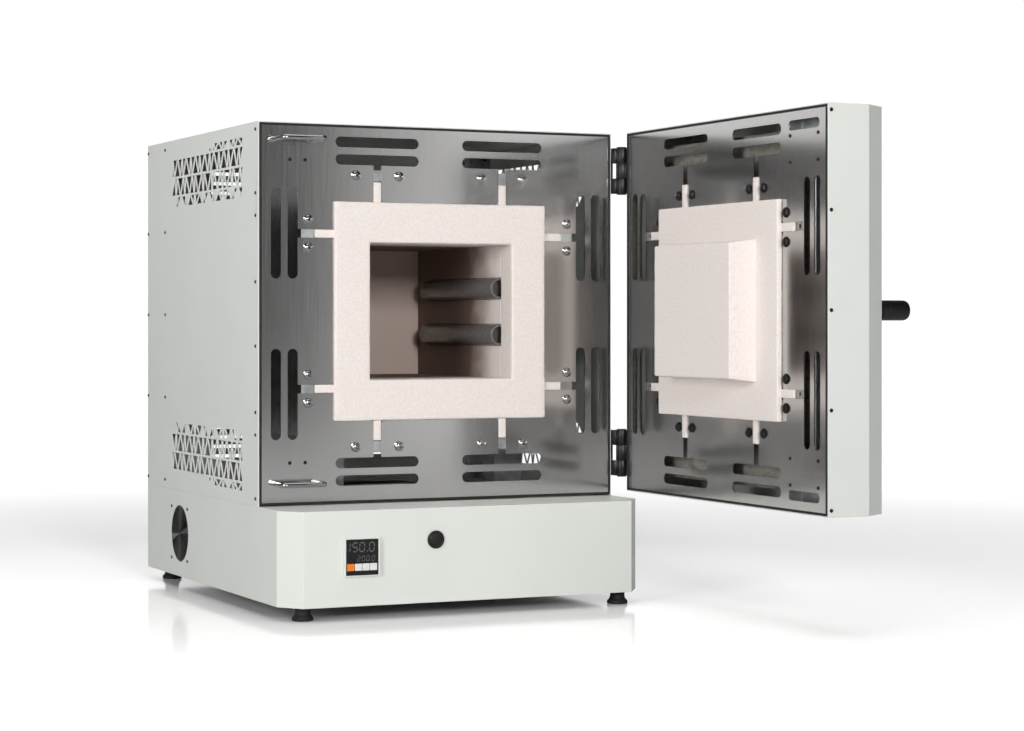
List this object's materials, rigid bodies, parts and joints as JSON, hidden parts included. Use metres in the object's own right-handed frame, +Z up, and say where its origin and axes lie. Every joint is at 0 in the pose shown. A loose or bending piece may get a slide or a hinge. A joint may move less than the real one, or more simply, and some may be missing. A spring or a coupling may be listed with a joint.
{
  "type": "dental laboratory furnace",
  "caption": "Bench-top chamber furnace with a side-hung insulated door standing open, vent-slotted steel front, fibre-lined chamber and a control base on feet.",
  "frame": {"origin": "on the bench plane, below the centre of the base's footprint", "axes": "+X to the right seen from the front, +Y to the rear, +Z up; the door stands open at the right front, so the part is longest along Y"},
  "size_m": [0.6449, 1.0293, 0.623],
  "materials": {
    "pale_paint": "satin powder coat",
    "brushed_plate": "brushed",
    "zinc_steel": "zinc plated",
    "polished_steel": "polished",
    "fibre_insulation": "matte fibre board",
    "fibre_blanket": "matte blanket",
    "heater_ceramic": "matte",
    "black_rubber": "matte",
    "black_plastic": "satin",
    "black_screws": "black oxide",
    "display_lens": "gloss",
    "cast_heatsink": "cast",
    "cream_plastic": "matte",
    "white_key": "satin",
    "orange_key": "satin"
  },
  "bodies": {
    "housing": {"base_shell": "pale_paint", "base_tray": "zinc_steel", "base_rear_panel": "pale_paint", "left_side_panel": "pale_paint", "right_side_panel": "pale_paint", "top_cover": "pale_paint", "rear_cover": "pale_paint", "inner_frame": "zinc_steel", "front_plate": "brushed_plate", "plate_edge_seal": "black_rubber", "chamber_front_frame": "fibre_insulation", "chamber_roof": "fibre_insulation", "chamber_floor": "fibre_insulation", "left_heater_slab": "fibre_insulation", "right_heater_slab": "fibre_insulation", "chamber_back": "fibre_insulation", "insulation_jacket": "fibre_blanket", "chamber_casing": "zinc_steel", "heater_tubes": "heater_ceramic", "heater_elements": "heater_ceramic", "thermocouple": "fibre_insulation", "frame_clips": "zinc_steel", "clip_bolts": "polished_steel", "striker_loops": "polished_steel", "body_hinge_leaves": "black_screws", "hinge_pins": "zinc_steel", "controller_case": "black_plastic", "controller_bezel": "pale_paint", "controller_lens": "display_lens", "switch_body": "black_plastic", "relay_module": "cast_heatsink", "terminal_block": "cream_plastic", "fan_frame": "black_plastic", "fan_guard": "black_plastic", "cable_gland": "black_plastic", "panel_screws": "black_screws", "foot_pads": "black_rubber", "foot_studs": "zinc_steel"},
    "door": {"door_casing": "pale_paint", "door_inner_plate": "brushed_plate", "door_edge_seal": "black_rubber", "door_plug_slab": "fibre_insulation", "door_backing": "fibre_blanket", "door_clips": "zinc_steel", "door_clip_bolts": "black_screws", "latch_housings": "zinc_steel", "latch_screws": "black_screws", "door_hinge_leaves": "black_screws", "door_screws": "black_screws", "handle_bush": "black_plastic"},
    "handle": {"handle_knob": "black_plastic", "handle_spindle": "zinc_steel"},
    "upper_latch": {"upper_latch_bolt": "polished_steel"},
    "lower_latch": {"lower_latch_bolt": "polished_steel"},
    "power_button": {"power_button": "black_plastic"},
    "fan_rotor": {"fan_rotor": "black_plastic"},
    "set_key": {"set_key": "orange_key"},
    "shift_key": {"shift_key": "white_key"},
    "down_key": {"down_key": "white_key"},
    "up_key": {"up_key": "white_key"}
  },
  "joints": [
    {"name": "door_swing", "type": "hinge", "parent": "housing", "child": "door", "pos_m": [0.2604, -0.2029, 0.383], "axis": [0, 0, 1], "range_deg": [-90, 85]},
    {"name": "handle_turn", "type": "hinge", "parent": "door", "child": "handle", "pos_m": [0.3519, -0.67855, 0.383], "axis": [1, 0, 0], "range_deg": [0, 90]},
    {"name": "upper_latch_slide", "type": "slide", "parent": "door", "child": "upper_latch", "axis": [0, 0, 1], "range_m": [0, 0.016]},
    {"name": "lower_latch_slide", "type": "slide", "parent": "door", "child": "lower_latch", "axis": [0, 0, -1], "range_m": [0, 0.016]},
    {"name": "power_button_push", "type": "slide", "parent": "housing", "child": "power_button", "axis": [0, 1, 0], "range_m": [0, 0.003], "stiffness_N_per_m": 600, "springref_m": -0.001},
    {"name": "fan_spin", "type": "hinge", "parent": "housing", "child": "fan_rotor", "pos_m": [-0.23, 0.141, 0.0765], "axis": [1, 0, 0], "continuous": true},
    {"name": "set_key_push", "type": "slide", "parent": "housing", "child": "set_key", "axis": [0, 1, 0], "range_m": [0, 0.0008], "stiffness_N_per_m": 800, "springref_m": -0.0005},
    {"name": "shift_key_push", "type": "slide", "parent": "housing", "child": "shift_key", "axis": [0, 1, 0], "range_m": [0, 0.0008], "stiffness_N_per_m": 800, "springref_m": -0.0005},
    {"name": "down_key_push", "type": "slide", "parent": "housing", "child": "down_key", "axis": [0, 1, 0], "range_m": [0, 0.0008], "stiffness_N_per_m": 800, "springref_m": -0.0005},
    {"name": "up_key_push", "type": "slide", "parent": "housing", "child": "up_key", "axis": [0, 1, 0], "range_m": [0, 0.0008], "stiffness_N_per_m": 800, "springref_m": -0.0005}
  ],
  "couplings": [
    {"joint": "handle_turn", "follows": "upper_latch_slide", "rad_per_m": 98.175},
    {"joint": "lower_latch_slide", "follows": "upper_latch_slide", "ratio": 1}
  ]
}
